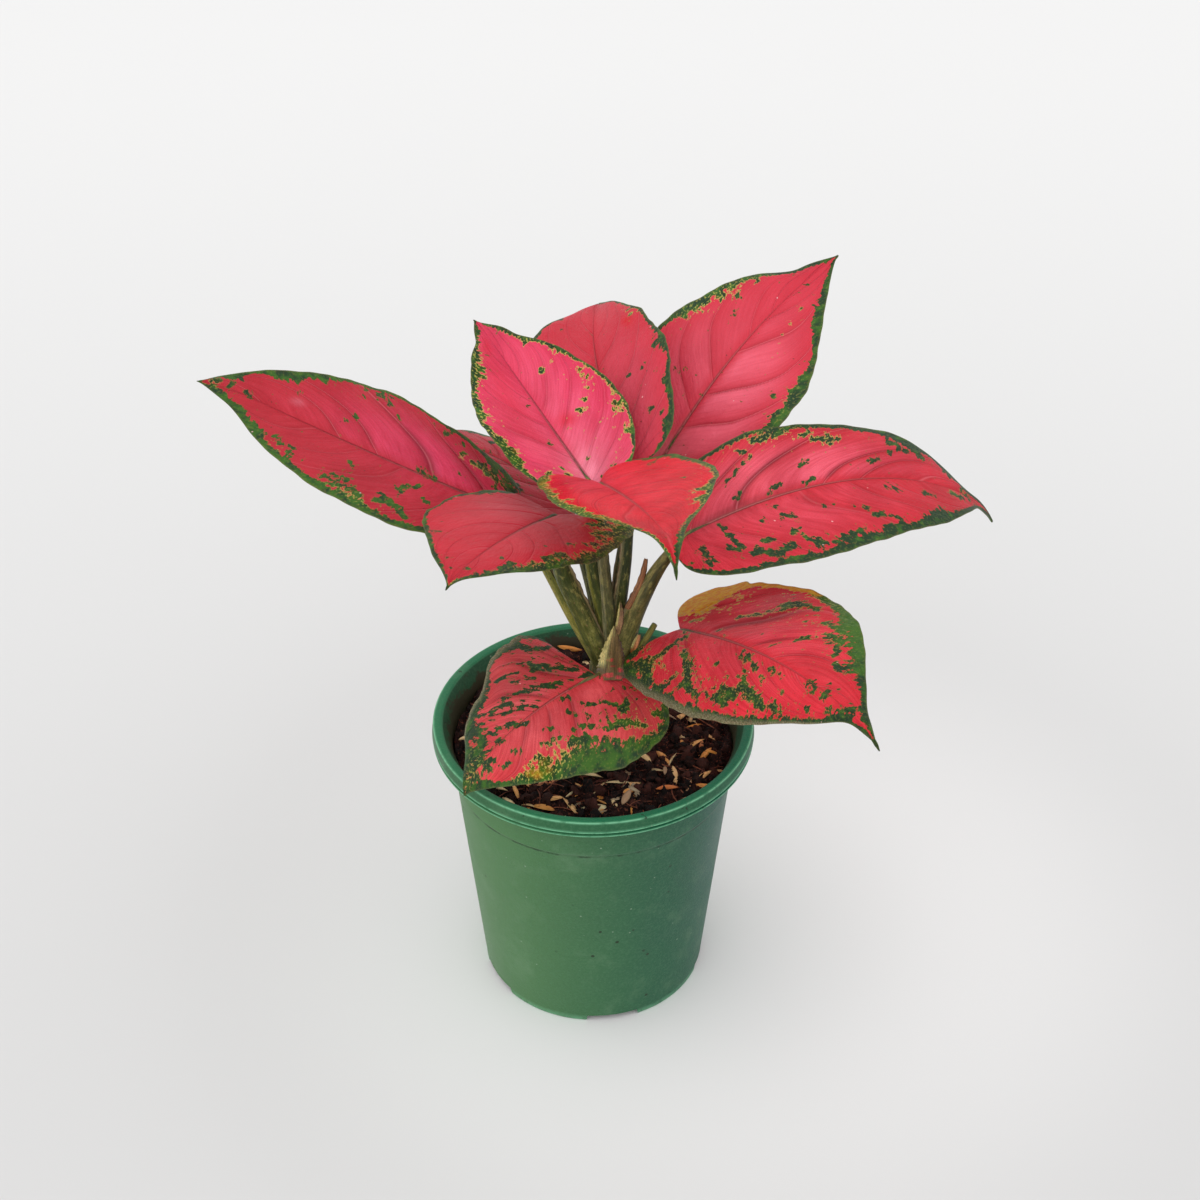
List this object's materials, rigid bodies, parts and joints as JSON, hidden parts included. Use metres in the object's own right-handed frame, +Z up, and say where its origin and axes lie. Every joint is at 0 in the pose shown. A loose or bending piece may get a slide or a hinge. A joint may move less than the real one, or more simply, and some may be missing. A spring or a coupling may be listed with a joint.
{
  "type": "potted chinese evergreen",
  "caption": "House plant with pink-red pointed blades on sheathed stalks, rooted in soil in a tapered plastic nursery pot.",
  "frame": {"origin": "centre of the pot's underside, on the surface it stands on", "axes": "+Z up along the pot's axis, -Y towards the viewer of the picture, +X to the viewer's right"},
  "size_m": [0.3047, 0.25, 0.296],
  "materials": {
    "pot_plastic": "matt moulded green plastic",
    "soil": "loose dark coir and rice hulls",
    "stalk": "smooth olive-green stalk",
    "dry_sheath": "dry papery brown",
    "blade": "satin pink-red leaf with green margin"
  },
  "bodies": {
    "root": {"pot": "pot_plastic", "soil": "soil", "stems": "stalk", "dried_sheath": "dry_sheath", "leaf_upper_right": "blade", "leaf_top": "blade", "leaf_centre": "blade", "leaf_far_left": "blade", "leaf_back_left": "blade", "leaf_front_left": "blade", "leaf_front": "blade", "leaf_right": "blade", "leaf_lower_right": "blade", "leaf_lower_left": "blade"}
  },
  "joints": []
}
